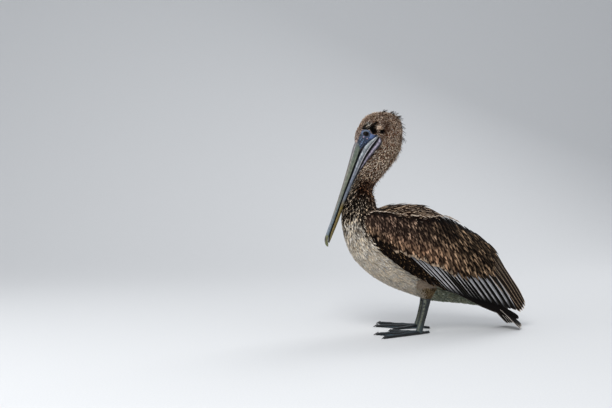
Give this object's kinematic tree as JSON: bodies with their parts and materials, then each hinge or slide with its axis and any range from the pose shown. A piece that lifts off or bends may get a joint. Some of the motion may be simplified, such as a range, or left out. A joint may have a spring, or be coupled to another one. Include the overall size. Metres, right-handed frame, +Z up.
{
  "type": "brown pelican model",
  "caption": "Standing young brown pelican, life size, folded wings, long hooked bill laid along its breast, webbed feet flat on the floor.",
  "frame": {"origin": "centre of the bounding box, at the floor under the feet", "axes": "+X the way the bird faces, +Y its left side, +Z up"},
  "size_m": [0.5842, 0.2342, 0.6051],
  "materials": {
    "brown_plumage": "soft matt feathers",
    "neck_plumage": "short speckled feathers",
    "wing_plumage": "layered feathers with pale tips",
    "flight_plumage": "stiff feathers with a silver bloom",
    "bill_horn": "dull horn",
    "pouch_skin": "soft folded skin",
    "eye_wet": "wet gloss",
    "foot_skin": "scaly skin"
  },
  "bodies": {
    "root": {"trunk": "brown_plumage", "neck_lower": "neck_plumage", "neck_upper": "neck_plumage", "head": "brown_plumage", "bill_upper": "bill_horn", "bill_lower": "bill_horn", "pouch": "pouch_skin", "tail": "flight_plumage", "eye_left": "eye_wet", "eye_right": "eye_wet", "wing_left": "wing_plumage", "wing_right": "wing_plumage", "flight_feathers_left": "flight_plumage", "flight_feathers_right": "flight_plumage", "thigh_left": "brown_plumage", "thigh_right": "brown_plumage", "shank_left": "foot_skin", "shank_right": "foot_skin", "foot_left": "foot_skin", "foot_right": "foot_skin"}
  },
  "joints": []
}
